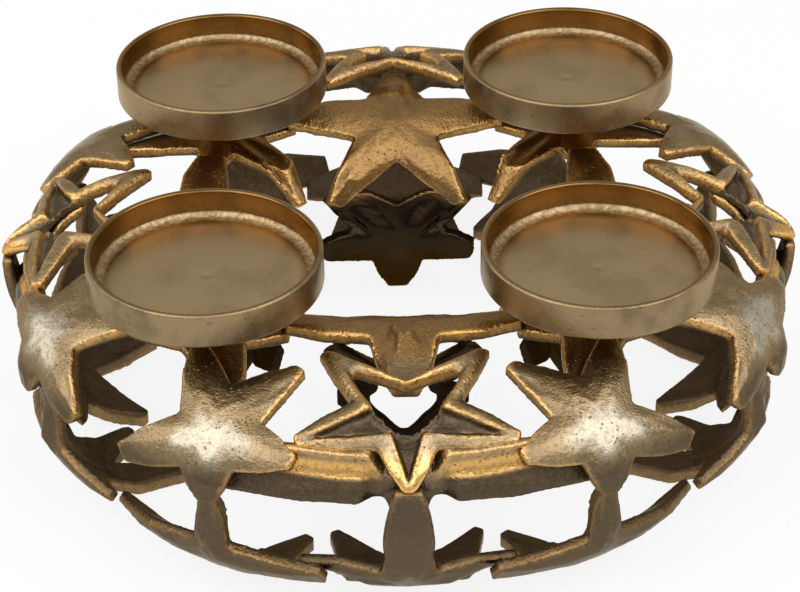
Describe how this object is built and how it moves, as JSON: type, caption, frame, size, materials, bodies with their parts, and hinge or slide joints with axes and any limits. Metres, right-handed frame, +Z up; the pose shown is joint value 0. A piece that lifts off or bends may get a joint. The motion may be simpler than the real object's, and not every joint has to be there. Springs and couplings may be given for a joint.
{
  "type": "advent candle holder",
  "caption": "Low openwork ring of overlapping cast stars with round pans on short posts for pillar candles, in an antique gold finish.",
  "frame": {"origin": "centre of the ring, on the table", "axes": "+Z up along the ring's axis, -Y the front, one side of the ring on each of +X, -X, +Y and -Y and a pan on each diagonal"},
  "size_m": [0.3348, 0.3348, 0.117],
  "materials": {
    "cast_gold": "sand-cast aluminium in an antique gold lacquer, faces rubbed bright, small casting pits left in",
    "aged_gold": "the same casting, darker and less rubbed on the lower and inner stars",
    "satin_gold": "turned satin gold with a rough bright cove round the floor",
    "screw_steel": "plain steel"
  },
  "bodies": {
    "root": {"hollow_star_front": "cast_gold", "hollow_star_right": "cast_gold", "hollow_star_back": "cast_gold", "hollow_star_left": "cast_gold", "middle_star_front": "aged_gold", "middle_star_right": "aged_gold", "middle_star_back": "aged_gold", "middle_star_left": "aged_gold", "inner_star_front": "cast_gold", "inner_star_right": "cast_gold", "inner_star_back": "cast_gold", "inner_star_left": "cast_gold", "base_star_front": "aged_gold", "base_star_right": "aged_gold", "base_star_back": "aged_gold", "base_star_left": "aged_gold", "leg_star_front": "aged_gold", "leg_star_right": "aged_gold", "leg_star_back": "aged_gold", "leg_star_left": "aged_gold", "outer_star_front_left": "cast_gold", "outer_star_front_right": "cast_gold", "outer_star_right_left": "cast_gold", "outer_star_right_right": "cast_gold", "outer_star_back_left": "cast_gold", "outer_star_back_right": "cast_gold", "outer_star_left_left": "cast_gold", "outer_star_left_right": "cast_gold", "foot_star_front_left": "aged_gold", "foot_star_front_right": "aged_gold", "foot_star_right_left": "aged_gold", "foot_star_right_right": "aged_gold", "foot_star_back_left": "aged_gold", "foot_star_back_right": "aged_gold", "foot_star_left_left": "aged_gold", "foot_star_left_right": "aged_gold", "pan_star_front_left": "cast_gold", "pan_star_front_right": "cast_gold", "pan_star_back_right": "cast_gold", "pan_star_back_left": "cast_gold", "candle_pan_front_left": "satin_gold", "candle_pan_front_right": "satin_gold", "candle_pan_back_right": "satin_gold", "candle_pan_back_left": "satin_gold", "pan_screws": "screw_steel"}
  },
  "joints": []
}
